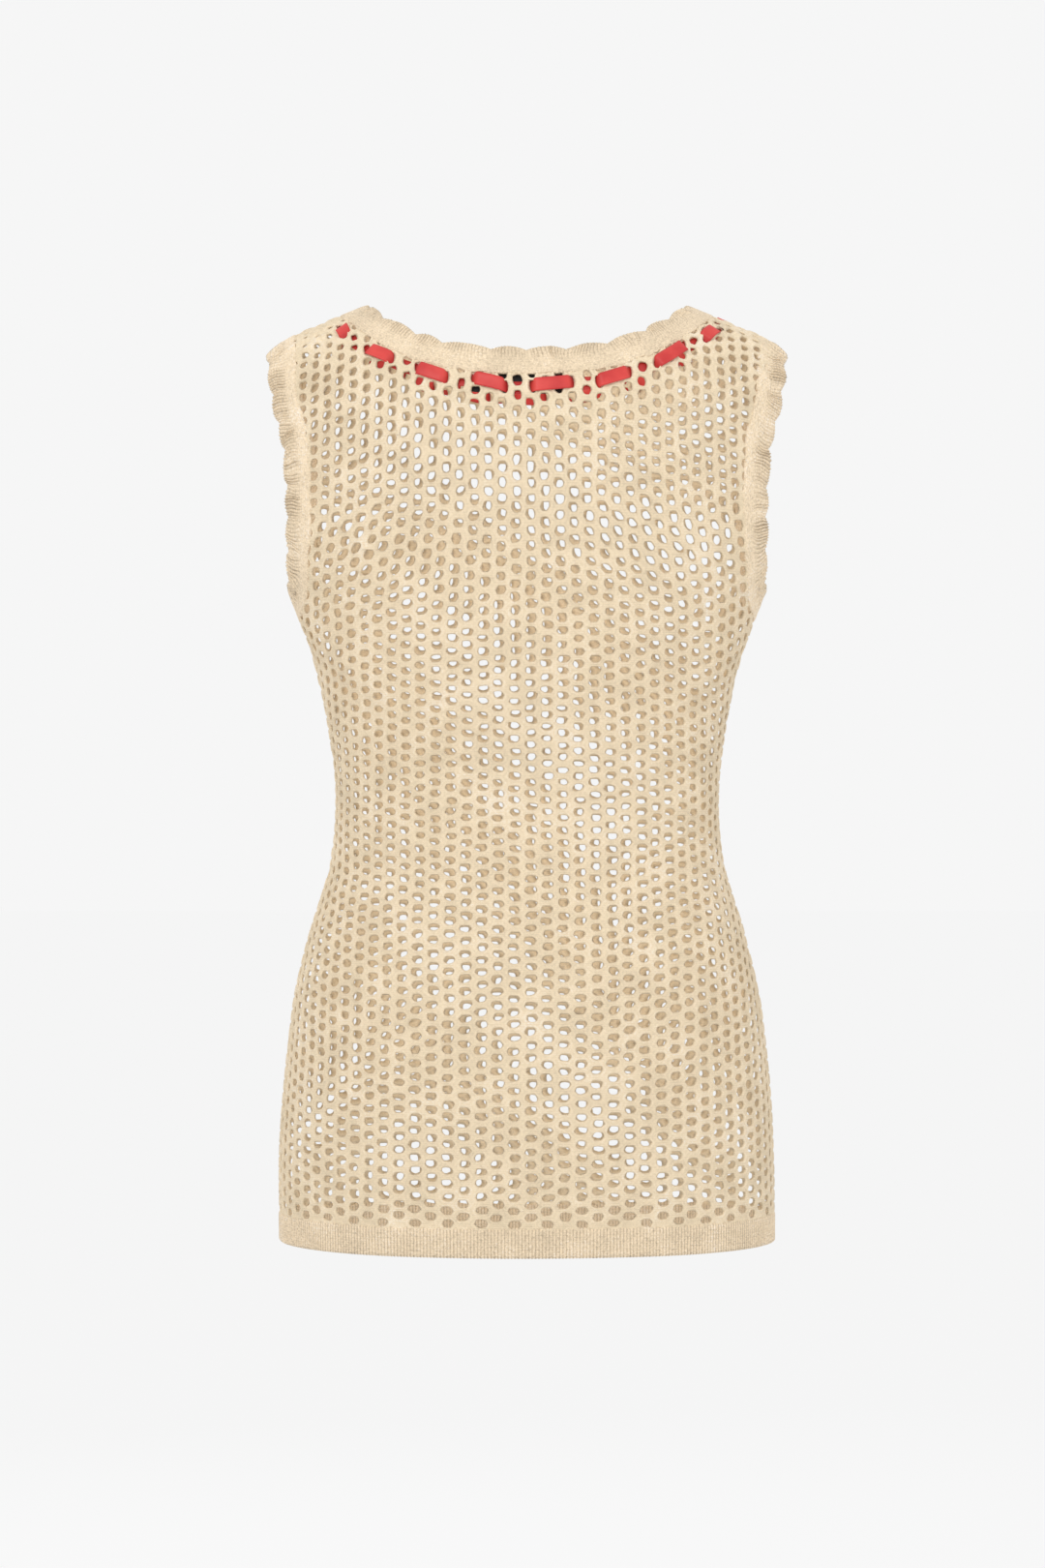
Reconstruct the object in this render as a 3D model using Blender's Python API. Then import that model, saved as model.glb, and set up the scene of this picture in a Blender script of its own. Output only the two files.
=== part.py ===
# Sleeveless openwork knit top, in the hollow form it keeps when worn, with nobody in it.
# Metres, +Z up. The wearer faces -Y. The origin lies midway between the shoulders that carry it.
import math

import bmesh
import bpy
import numpy as np

# Driving dimensions. Heights are above the hem, half widths are from the middle plane.
SHOULDER_LEVEL = 0.580  # the origin's height
UPPER_CHEST = 0.470  # above this height the form arches over to the shoulder line
ARCH_CLIMB = 0.150  # length that the climb spends on that arch
SHOULDER_SPREAD = 0.012  # the form widens by this between the upper chest and the shoulder line
SQUARENESS = 2.3  # 2 makes each level section an ellipse, more makes it squarer
CHEST_LEAN = 0.25  # how much the upper front slopes back where the arch begins
FRONT_DROP = 0.008  # the hem hangs lower by this at the middle of the front
DROP_REACH = 0.160  # the climb over which that drop fades out

NET_THICK = 0.0022
BAND_THICK = 0.0026
RIBBON_THICK = 0.0008
LABEL_THICK = 0.0006
SEAM_GAP = 0.0003

HEM_BAND = 0.018  # heights and widths of the finishing bands
NECK_BAND = 0.016
ARMHOLE_BAND = 0.018
HEM_TURN_IN = 0.0012  # the hem's lower edge draws in by this
NECK_SCALLOPS = 22
NECK_SCALLOP_DEEP = 0.0030
ARMHOLE_SCALLOPS = 18
ARMHOLE_SCALLOP_DEEP = 0.0028

NECK_HALF = 0.1035  # neck opening
NECK_POINT = 0.5962
NECK_LOW = {"back": 0.5635, "front": 0.5680}
NECK_ROUND = 2.8
ARMHOLE_TOP = 0.5675
ARMHOLE_BOTTOM = 0.4130
UNDERARM_SQUARE = 40  # more makes the armhole's lowest point squarer

RIBBON_WIDE = 0.0085
RIBBON_LINE = 0.0230  # distance of the ribbon's middle from the neck opening's edge
RIBBON_OFF = 0.0021  # how far the ribbon's middle lies outside or inside the net's middle
STRETCHES = {"back": 8, "front": 8}  # ribbon stretches from the shoulder seam to the middle
EYELET_WIDE = 0.0080
EYELET_TALL = 0.0118
EYELET_CLEAR = 0.12  # share of an eyelet's width in which the ribbon keeps its level

LABEL_WIDE = 0.062  # along the neck opening's edge
LABEL_EDGES = (0.0135, 0.0285)  # distances of its long edges from the neck opening's edge
LABEL_IN = 0.0033

SIDE_SEAM_TURN = 0.0018  # half the side seam's gap, as an angle round the form
SIDE_ROWS = 10  # mesh rows of a panel along the side seam and along the armhole
ARMHOLE_ROWS = 9
HEM_ROWS = 2

# The figure: a row for each level section, with its half width and its depth to back and front.
SECTIONS = {
    "columns": ("height", "half_width", "back", "front"),
    "rows": (
        (0.000, 0.1570, 0.100, 0.098),
        (0.050, 0.1575, 0.105, 0.100),
        (0.110, 0.1536, 0.107, 0.098),
        (0.160, 0.1472, 0.102, 0.094),
        (0.200, 0.1372, 0.093, 0.089),
        (0.236, 0.1262, 0.084, 0.085),
        (0.280, 0.1215, 0.077, 0.083),
        (0.330, 0.1265, 0.078, 0.089),
        (0.370, 0.1355, 0.079, 0.099),
        (0.404, 0.1462, 0.079, 0.104),
        (0.430, 0.1570, 0.078, 0.102),
        (0.450, 0.1635, 0.077, 0.098),
        (0.470, 0.1665, 0.076, 0.093),
    ),
}
# The shoulder line, seen from the front.
SHOULDER_LINE = {
    "columns": ("half_width", "height"),
    "rows": (
        (0.0000, 0.6125),
        (0.0500, 0.6080),
        (0.1035, 0.5962),
        (0.1340, 0.5845),
        (0.1535, 0.5755),
        (0.1635, 0.5675),
        (0.1785, 0.5460),
    ),
}
# The armhole's edge, seen from the front.
ARMHOLE_LINE = {
    "columns": ("height", "half_width"),
    "rows": (
        (0.4130, 0.1490),
        (0.4410, 0.1500),
        (0.4780, 0.1505),
        (0.5060, 0.1525),
        (0.5340, 0.1595),
        (0.5675, 0.1635),
    ),
}
NECK_CENTRE = np.array((0.0, 0.0, 0.650 - SHOULDER_LEVEL))
ARMHOLE_CENTRE = np.array((0.155, 0.0, 0.490 - SHOULDER_LEVEL))
SIDES = {"back": 1.0, "front": -1.0}
CLIMB_TOP = UPPER_CHEST + ARCH_CLIMB
QUARTER = math.pi / 2


def reading(table, across, name, at):
    """A column of a table at any values of another column, on a smooth curve through its rows."""
    x = np.array([row[table["columns"].index(across)] for row in table["rows"]])
    y = np.array([row[table["columns"].index(name)] for row in table["rows"]])
    slope = np.gradient(y, x)
    at = np.clip(at, x[0], x[-1])
    i = np.clip(np.searchsorted(x, at) - 1, 0, len(x) - 2)
    span = x[i + 1] - x[i]
    t = (at - x[i]) / span
    start = (1 + 2 * t) * (1 - t) ** 2 * y[i] + t * (1 - t) ** 2 * span * slope[i]
    end = t * t * (3 - 2 * t) * y[i + 1] + t * t * (t - 1) * span * slope[i + 1]
    return start + end


def half_width(climb):
    arch = np.maximum(climb - UPPER_CHEST, 0) / ARCH_CLIMB * QUARTER
    level = np.minimum(climb, UPPER_CHEST)
    return reading(SECTIONS, "height", "half_width", level) + SHOULDER_SPREAD * np.sin(arch) ** 2


def form(side, turn, climb):
    """Points of the figure's surface: side is 1 at the back and -1 in front, turn is 0 on the
    middle line and a quarter circle at the side, climb is the height up to the upper chest."""
    arch = np.maximum(climb - UPPER_CHEST, 0) / ARCH_CLIMB * QUARTER
    level = np.minimum(climb, UPPER_CHEST)
    x = half_width(climb) * np.sin(turn)
    back = reading(SECTIONS, "height", "back", level)
    front = reading(SECTIONS, "height", "front", level)
    lean = np.where(side > 0, 0.0, CHEST_LEAN)
    fall = np.cos(arch) - lean * np.sin(arch) * (1 - np.sin(arch))
    roundness = np.sqrt(np.abs(1 - np.abs(np.sin(turn)) ** SQUARENESS)) * np.sign(np.cos(turn))
    y = side * np.where(side > 0, back, front) * fall * roundness
    top = reading(SHOULDER_LINE, "half_width", "height", np.abs(x))
    drop = np.where(side > 0, 0.0, FRONT_DROP) * np.cos(turn) ** 2
    drop = drop * np.clip(1 - climb / DROP_REACH, 0, None) ** 2
    z = level + (top - UPPER_CHEST) * np.sin(arch) - drop - SHOULDER_LEVEL
    return np.stack(np.broadcast_arrays(x, y, z), axis=-1)


def slopes(side, turn, climb):
    """How a point moves with the turn and with the climb."""
    step = 1e-4
    by_turn = (form(side, turn + step, climb) - form(side, turn - step, climb)) / (2 * step)
    by_climb = (form(side, turn, climb + step) - form(side, turn, climb - step)) / (2 * step)
    return by_turn, by_climb


def outward(side, turn, climb):
    """The surface's outward direction."""
    by_turn, by_climb = slopes(side, turn, climb)
    normal = np.cross(by_turn, by_climb) * -np.sign(side)[..., None]
    return normal / np.linalg.norm(normal, axis=-1, keepdims=True)


def walk(place, heading, distance, steps=6):
    """Moves places over the surface, each by its distance along its own heading."""
    side, turn, climb = place
    for _ in range(steps):
        by_turn, by_climb = slopes(side, turn, climb)
        a, b = (by_turn * by_turn).sum(-1), (by_climb * by_climb).sum(-1)
        c = (by_turn * by_climb).sum(-1)
        p, q = (heading * by_turn).sum(-1), (heading * by_climb).sum(-1)
        width = a * b - c * c
        turn_by, climb_by = (p * b - q * c) / width, (q * a - p * c) / width
        move = by_turn * turn_by[..., None] + by_climb * climb_by[..., None]
        pace = distance / steps / np.linalg.norm(move, axis=-1)
        turn, climb = turn + turn_by * pace, climb + climb_by * pace
    return side, turn, climb


def on_arch(half, height):
    """The climb at which the surface has this half width and height."""
    top = reading(SHOULDER_LINE, "half_width", "height", half)
    rise = np.clip((height - UPPER_CHEST) / (top - UPPER_CHEST), 0, 1)
    return np.where(height > UPPER_CHEST, UPPER_CHEST + np.arcsin(rise) / QUARTER * ARCH_CLIMB, height)


def neck_edge(way):
    """The neck opening's edge: way is 0 at the middle of the back and a quarter at the shoulder."""
    side = np.where(np.cos(way) >= 0, 1.0, -1.0)
    low = np.where(side > 0, NECK_LOW["back"], NECK_LOW["front"])
    across = np.abs(np.sin(way))
    climb = on_arch(NECK_HALF * across, low + (NECK_POINT - low) * across**NECK_ROUND)
    return side, np.arcsin(NECK_HALF * np.sin(way) / half_width(climb)), climb


def armhole_edge(way):
    """The right armhole's edge: way is 0 at the back and a quarter at the shoulder."""
    rise = np.sin(way)
    reach = np.where(rise > 0, ARMHOLE_TOP - UPPER_CHEST, UPPER_CHEST - ARMHOLE_BOTTOM)
    height = UPPER_CHEST + reach * rise
    half = reading(ARMHOLE_LINE, "height", "half_width", height)
    climb = on_arch(half, height)
    side = np.where(np.cos(way) >= 0, 1.0, -1.0)
    spare = (1 - half / half_width(climb)) * (1 - ((1 - rise) / 2) ** UNDERARM_SQUARE)
    return side, np.arcsin(1 - spare), climb


def beside(edge, centre, way, distance):
    """Places beside an opening's edge, a distance away from the opening over the surface."""
    step = 2e-3
    place = edge(way)
    ahead = form(*edge(way + step)) - form(*edge(way - step))
    heading = np.cross(outward(*place), ahead)
    heading /= np.linalg.norm(heading, axis=-1, keepdims=True)
    away = np.sign((heading * (form(*place) - centre)).sum(-1, keepdims=True))
    return walk(place, heading * away, distance)


def beside_neck(way, distance):
    return beside(neck_edge, NECK_CENTRE, way, distance)


def beside_armhole(way, distance):
    return beside(armhole_edge, ARMHOLE_CENTRE, way, distance)


def lengths(points):
    """The length along a line of points up to each of them."""
    return np.concatenate(([0], np.cumsum(np.linalg.norm(np.diff(points, axis=0), axis=1))))


def eyelet_ways(name):
    """From the middle to the shoulder: the ways of the eyelets' two sides, along the ribbon's line."""
    fine = np.linspace(QUARTER, 0, 400)
    way = fine if name == "back" else math.pi - fine
    run = lengths(form(*beside_neck(way, RIBBON_LINE)))
    pitch = run[-1] / STRETCHES[name]
    middles = (np.arange(STRETCHES[name]) + 0.5) * pitch
    sides = np.sort(np.concatenate((middles - EYELET_WIDE / 2, middles + EYELET_WIDE / 2)))
    return np.interp(sides, run, way)[::-1], run[-1]


def neck_knots(name):
    """The ways at which a panel's upper edge bends, from the middle to the shoulder."""
    middle = 0.0 if name == "back" else math.pi
    return np.concatenate(([middle], eyelet_ways(name)[0], [QUARTER]))


def side_knots(name):
    """The armhole ways at which a panel's edge bends, from the underarm to the shoulder."""
    turn = np.linspace(-QUARTER, QUARTER, ARMHOLE_ROWS + 1)
    return turn if name == "back" else -math.pi - turn


def armhole_seam(name, distance):
    """Places along the armhole band's inner edge, from the side seam to the shoulder seam."""
    side, turn, climb = beside_armhole(side_knots(name), distance)
    turn[0], climb[-1] = QUARTER, CLIMB_TOP
    return SIDES[name] * np.ones_like(turn), turn, climb


def panel_places(name):
    """A panel's right half as a grid of places: rows from hem to neck, columns from the middle."""
    upper = [np.array(beside_neck(neck_knots(name), NECK_BAND + SEAM_GAP + more)[1:]).T
             for more in (EYELET_TALL, 0.0)]
    for line in upper:
        line[-1, 1] = CLIMB_TOP - SEAM_GAP * 0.75
    seam = np.array(armhole_seam(name, ARMHOLE_BAND + SEAM_GAP)[1:]).T
    seam[0, 0] -= SIDE_SEAM_TURN
    seam[-1, 1] -= SEAM_GAP * 0.75
    rise = np.linspace(HEM_BAND + SEAM_GAP, seam[0, 1], SIDE_ROWS + 1)[:-1]
    side = np.column_stack((np.full(SIDE_ROWS, QUARTER - SIDE_SEAM_TURN), rise))
    right = np.concatenate((side, seam, upper[0][-1:]))
    climb = np.linspace(seam[0, 1], upper[0][0, 1], ARMHOLE_ROWS + 2)
    left = np.column_stack((np.zeros(len(right)), np.concatenate((rise, climb))))
    columns = len(upper[0])
    u = np.linspace(0, 1, columns)[None, :, None]
    v = np.linspace(0, 1, len(right))[:, None, None]
    bottom = left[0] + (right[0] - left[0]) * u
    grid = (1 - u) * left[:, None] + u * right[:, None] + (1 - v) * bottom + v * upper[0][None]
    grid -= (1 - u) * (1 - v) * left[0] + u * (1 - v) * right[0]
    grid -= (1 - u) * v * left[-1] + u * v * right[-1]
    return np.concatenate((grid, upper[1][None]))


def lift(side, turn, climb, out):
    """Points of the form, moved outwards by a distance."""
    return form(side, turn, climb) + outward(side, turn, climb) * np.asarray(out)[..., None]


def mirrored(points):
    return points * np.array((-1, 1, 1))


def wall(name, outer, inner, material, keep=None, ring=False):
    """A closed wall between two grids of points; keep says which of the grid's faces it has."""
    rows, columns = outer.shape[:2]
    across = columns if ring else columns - 1
    keep = np.ones((rows - 1, across), bool) if keep is None else keep
    mesh = bmesh.new()
    skins = [[[mesh.verts.new(p) for p in row] for row in grid] for grid in (outer, inner)]
    used = {}
    for i, j in zip(*np.nonzero(keep)):
        corners = [(i, j), (i, (j + 1) % columns), (i + 1, (j + 1) % columns), (i + 1, j)]
        mesh.faces.new([skins[0][a][b] for a, b in corners])
        mesh.faces.new([skins[1][a][b] for a, b in reversed(corners)])
        for start, end in zip(corners, corners[1:] + corners[:1]):
            used[start, end] = True
    for start, end in used:
        if (end, start) not in used:
            rim = [skins[0][end[0]][end[1]], skins[0][start[0]][start[1]]]
            rim += [skins[1][start[0]][start[1]], skins[1][end[0]][end[1]]]
            mesh.faces.new(rim)
    loose = [v for v in mesh.verts if not v.link_faces]
    bmesh.ops.delete(mesh, geom=loose, context="VERTS")
    bmesh.ops.recalc_face_normals(mesh, faces=mesh.faces)
    data = bpy.data.meshes.new(name)
    mesh.to_mesh(data)
    mesh.free()
    data.shade_smooth()
    data.set_sharp_from_angle(angle=math.radians(50))
    data.materials.append(material)
    piece = bpy.data.objects.new(name, data)
    bpy.data.collections["knit_top"].objects.link(piece)
    return piece


def material(name, colour, roughness, sheen=0.0):
    made = bpy.data.materials.new(name)
    made.use_nodes = True
    shader = made.node_tree.nodes["Principled BSDF"]
    shader.inputs["Base Color"].default_value = (*colour, 1)
    shader.inputs["Roughness"].default_value = roughness
    shader.inputs["Metallic"].default_value = 0.0
    shader.inputs["Sheen Weight"].default_value = sheen
    made.diffuse_color = (*colour, 1)
    return made


def panel(name, yarn):
    """Front or back of the net, with the ribbon's eyelets open at its neck edge."""
    places = panel_places(name)
    side = np.full(places.shape[:2], SIDES[name])
    halves = []
    for out in (NET_THICK / 2, -NET_THICK / 2):
        right = lift(side, places[..., 0], places[..., 1], out)
        right[:, 0, 0] = 0
        halves.append(np.concatenate((mirrored(right[:, :0:-1]), right), axis=1))
    keep = np.ones((places.shape[0] - 1, 2 * (places.shape[1] - 1)), bool)
    middle = places.shape[1] - 1
    for k in range(STRETCHES[name]):
        keep[-1, middle + 1 + 2 * k] = False
        keep[-1, middle - 2 - 2 * k] = False
    return wall(name + "_panel", halves[0], halves[1], yarn, keep)


def loop_of(edge_ways):
    """The ways of a whole neck loop from those of its right half, back to front."""
    return np.concatenate((edge_ways, 2 * math.pi - edge_ways[-2:0:-1]))


def neck_band(yarn):
    """One scalloped strip all round the neck opening."""
    back, front = neck_knots("back"), neck_knots("front")
    knots = loop_of(np.concatenate((back, front[-2::-1])))
    fine = np.linspace(0, 2 * math.pi, 1601)
    run = lengths(form(*neck_edge(fine)))
    count = NECK_SCALLOPS * 5
    place = np.arange(count) / count
    way = np.interp(place * run[-1], run, fine)
    lobes = np.abs(np.sin(math.pi * NECK_SCALLOPS * place)) ** 0.8
    edge = beside_neck(way, -NECK_SCALLOP_DEEP * lobes)
    middle = beside_neck(way, np.full(count, NECK_BAND / 2))
    skins = []
    for out in (BAND_THICK / 2, -BAND_THICK / 2):
        bends = lift(*beside_neck(knots, NECK_BAND), out)
        at, closed = np.append(knots, 2 * math.pi), np.concatenate((bends, bends[:1]))
        seam = np.stack([np.interp(way, at, closed[:, k]) for k in range(3)], axis=-1)
        skins.append(np.stack((seam, lift(*middle, out), lift(*edge, out))))
    return wall("neck_band", skins[0], skins[1], yarn, ring=True)


def armhole_band(name, hand, yarn):
    """A scalloped strip round one armhole."""
    knots = np.concatenate((side_knots("back"), math.pi - side_knots("back")[-2:0:-1]))
    fine = np.linspace(-QUARTER, 3 * QUARTER, 1601)
    run = lengths(form(*armhole_edge(fine)))
    count = ARMHOLE_SCALLOPS * 4
    place = np.arange(count) / count
    way = np.interp(place * run[-1], run, fine)
    lobes = np.abs(np.sin(math.pi * ARMHOLE_SCALLOPS * place)) ** 0.8
    edge = beside_armhole(way, -ARMHOLE_SCALLOP_DEEP * lobes)
    middle = beside_armhole(way, np.full(count, ARMHOLE_BAND / 2))
    skins = []
    for out in (BAND_THICK / 2, -BAND_THICK / 2):
        bends = lift(*beside_armhole(knots, ARMHOLE_BAND), out)
        at, closed = np.append(knots, 3 * QUARTER), np.concatenate((bends, bends[:1]))
        seam = np.stack([np.interp(way, at, closed[:, k]) for k in range(3)], axis=-1)
        skin = np.stack((seam, lift(*middle, out), lift(*edge, out)))
        skins.append(skin if hand > 0 else mirrored(skin))
    return wall(name, skins[0], skins[1], yarn, ring=True)


def hem_band(yarn):
    """The hem's ribbed tube, with the panels' own columns."""
    turns = {name: np.linspace(0, QUARTER, len(neck_knots(name))) for name in SIDES}
    right = [(1.0, t) for t in turns["back"]] + [(-1.0, t) for t in turns["front"][-2::-1]]
    loop = right + [(s, -t) for s, t in right[-2:0:-1]]
    side = np.array([s for s, _ in loop])[None, :]
    turn = np.array([t for _, t in loop])[None, :]
    climb = np.linspace(0, HEM_BAND, HEM_ROWS + 1)[:, None]
    side, turn, climb = np.broadcast_arrays(side, turn, climb)
    draw = HEM_TURN_IN * (1 - climb / HEM_BAND) ** 2
    skins = [lift(side, turn, climb, out - draw) for out in (BAND_THICK / 2, -BAND_THICK / 2)]
    return wall("hem_band", skins[0], skins[1], yarn, ring=True)


def ribbon_bends(name):
    """Ways and heights over the net of a ribbon half, from the middle to the shoulder: it lies
    inside the net across the shoulder seam and changes side at each eyelet."""
    sides, _ = eyelet_ways(name)
    ways, outs = [], []
    level = -RIBBON_OFF if STRETCHES[name] % 2 == 0 else RIBBON_OFF
    for near, far in sides.reshape(-1, 2):
        ways += [near + (far - near) * EYELET_CLEAR, far - (far - near) * EYELET_CLEAR]
        outs += [level, -level]
        level = -level
    middle = 0.0 if name == "back" else math.pi
    return np.concatenate(([middle], ways, [QUARTER])), np.array([outs[0], *outs, -RIBBON_OFF])


def ribbon(satin):
    """The ribbon, a closed band that runs in and out through the eyelets all round the neck."""
    back, front = ribbon_bends("back"), ribbon_bends("front")
    half = np.concatenate((back[0], front[0][-2::-1]))
    out = np.concatenate((back[1], front[1][-2::-1]))
    knots, out = loop_of(half), np.concatenate((out, out[-2:0:-1]))
    lines = [beside_neck(knots, RIBBON_LINE + part * RIBBON_WIDE / 2) for part in (1, -1)]
    skins = [np.stack([lift(*line, out + more) for line in lines])
             for more in (RIBBON_THICK / 2, -RIBBON_THICK / 2)]
    return wall("ribbon", skins[0], skins[1], satin, ring=True)


def neck_label(cloth):
    """A plain label inside the back of the neck."""
    way = np.arcsin(np.linspace(-LABEL_WIDE / 2, LABEL_WIDE / 2, 13) / NECK_HALF)
    lines = [beside_neck(way, np.full(len(way), distance)) for distance in LABEL_EDGES[::-1]]
    skins = [np.stack([lift(*line, -LABEL_IN + more) for line in lines])
             for more in (LABEL_THICK / 2, -LABEL_THICK / 2)]
    return wall("neck_label", skins[0], skins[1], cloth)


def build():
    for old in list(bpy.data.objects):
        bpy.data.objects.remove(old, do_unlink=True)
    group = bpy.data.collections.new("knit_top")
    bpy.context.scene.collection.children.link(group)
    net = material("cream_net_knit", (0.80, 0.64, 0.44), 0.85, 0.3)
    rib = material("cream_band_knit", (0.81, 0.65, 0.46), 0.85, 0.3)
    satin = material("coral_satin", (0.77, 0.10, 0.09), 0.40, 0.1)
    tape = material("black_label_tape", (0.02, 0.02, 0.02), 0.70)
    for name in SIDES:
        panel(name, net)
    neck_band(rib)
    armhole_band("armhole_band_right", -1, rib)
    armhole_band("armhole_band_left", 1, rib)
    hem_band(rib)
    ribbon(satin)
    neck_label(tape)


build()
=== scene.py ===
# Sleeveless openwork knit top, hollow as when worn and seen from behind: the net of yarn, the
# scalloped bands, the ribbed hem, the laced satin ribbon and the bare label.
import math

import bmesh
import bpy
import numpy as np
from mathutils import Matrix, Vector


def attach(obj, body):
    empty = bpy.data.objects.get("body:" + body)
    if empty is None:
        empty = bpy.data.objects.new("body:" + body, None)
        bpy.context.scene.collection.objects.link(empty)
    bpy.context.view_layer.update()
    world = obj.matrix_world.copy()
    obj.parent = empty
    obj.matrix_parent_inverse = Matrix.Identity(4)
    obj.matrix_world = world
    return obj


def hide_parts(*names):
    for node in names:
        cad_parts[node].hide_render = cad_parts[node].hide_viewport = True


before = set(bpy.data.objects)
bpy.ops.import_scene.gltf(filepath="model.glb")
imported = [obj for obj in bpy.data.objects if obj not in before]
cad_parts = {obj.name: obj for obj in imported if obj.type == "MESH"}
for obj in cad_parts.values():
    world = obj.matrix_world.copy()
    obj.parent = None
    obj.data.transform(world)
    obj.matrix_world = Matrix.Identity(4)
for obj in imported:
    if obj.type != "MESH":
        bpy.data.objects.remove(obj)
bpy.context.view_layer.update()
quarter = math.pi / 2
print("frame loaded:", len(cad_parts), "nodes")


# Stage: camera at the photograph's angle, soft studio light, pale floor
stage = {
    "cameraAt": (0.0028, 2.45, -0.288),
    "lens": 87.8,
    "floorLevel": -1.36,  # the floor under a wearer's feet
    "floorSize": 60.0,
    "backdropTone": 0.922,
    "worldStrength": 1.0,
    "floorGlow": 0.92,  # share of the floor's tone that doesn't depend on the lights
    "floorTone": 0.07,  # what the lights add to it
    "floorGrain": (3.0, 0.05),  # scale and strength
    "lights": (  # name, place, size, watts
        ("keyLight", (1.3, 3.1, 1.5), 1.6, 36.6),
        ("fillLight", (-2.3, 2.7, 0.6), 2.2, 16.0),
        ("topLight", (0.0, 0.4, 2.4), 2.4, 3.5),
        ("frontLight", (0.6, -3.2, 0.8), 2.4, 34.0),
    ),
    "aimAt": (0.0, 0.0, -0.3),
    "innerLight": (0.20, 0.50, 0.11),  # width, height and watts of the soft light in the hollow
    "innerLightAt": (0.0, 0.0, -0.27),
}


def nodeTree(owner):
    owner.use_nodes = True
    owner.node_tree.nodes.clear()
    return owner.node_tree


def addNode(tree, kind, settings=None, **inputs):
    # one shader node; inputs are values or (node, output) pairs, with _ for a space in a socket's name
    node = tree.nodes.new(kind)
    for key, value in (settings or {}).items():
        setattr(node, key, value)
    for key, value in inputs.items():
        socket = node.inputs[int(key[2:])] if key.startswith("in") and key[2:].isdigit() \
            else node.inputs[key.replace("_", " ")]
        if isinstance(value, tuple) and hasattr(value[0], "outputs"):
            tree.links.new(value[0].outputs[value[1]], socket)
        else:
            socket.default_value = value
    return node


def addLight(name, place, turned, size, watts):
    lamp = bpy.data.lights.new(name, "AREA")
    lamp.shape = "RECTANGLE"
    lamp.size, lamp.size_y = size
    lamp.energy = watts
    light = bpy.data.objects.new(name, lamp)
    light.location = place
    light.rotation_euler = turned
    bpy.context.collection.objects.link(light)
    return light


def buildStage():
    camera = bpy.data.objects.new("photoCamera", bpy.data.cameras.new("photoCamera"))
    camera.location = stage["cameraAt"]
    camera.rotation_euler = (quarter, 0, math.pi)
    camera.data.lens = stage["lens"]
    camera.data.clip_end = 200
    bpy.context.collection.objects.link(camera)
    bpy.context.scene.camera = camera
    bpy.context.scene.view_settings.view_transform = "Standard"

    tone = (stage["backdropTone"],) * 3 + (1,)
    world = bpy.data.worlds.new("studio")
    bpy.context.scene.world = world
    tree = nodeTree(world)
    sky = addNode(tree, "ShaderNodeBackground", Color=tone, Strength=stage["worldStrength"])
    addNode(tree, "ShaderNodeOutputWorld", Surface=(sky, 0))

    for name, place, size, watts in stage["lights"]:
        towards = Vector(stage["aimAt"]) - Vector(place)
        addLight(name, place, towards.to_track_quat("-Z", "Y").to_euler(), (size, size), watts)
    wide, tall, watts = stage["innerLight"]
    for name, facing in (("innerLightFront", 0.0), ("innerLightBack", math.pi)):
        light = addLight(name, stage["innerLightAt"], (-quarter, 0, facing), (wide, tall), watts)
        light.visible_camera = False

    bpy.ops.mesh.primitive_plane_add(size=stage["floorSize"], location=(0, 0, stage["floorLevel"]))
    floor = bpy.context.object
    floor.name = "floor"
    paper = bpy.data.materials.new("paleFloor")
    tree = nodeTree(paper)
    grainScale, grainStrength = stage["floorGrain"]
    noise = addNode(tree, "ShaderNodeTexNoise", Scale=grainScale)
    glow = stage["backdropTone"] * stage["floorGlow"]
    shader = addNode(tree, "ShaderNodeBsdfPrincipled", Base_Color=(stage["floorTone"],) * 3 + (1,),
                     Roughness=1.0, Specular_IOR_Level=0.0, Emission_Color=(glow, glow, glow, 1),
                     Emission_Strength=1.0)
    bump = addNode(tree, "ShaderNodeBump", Strength=grainStrength, Height=(noise, 0))
    tree.links.new(bump.outputs[0], shader.inputs["Normal"])
    addNode(tree, "ShaderNodeOutputMaterial", Surface=(shader, 0))
    floor.data.materials.append(paper)


buildStage()
print("stage built")


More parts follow.
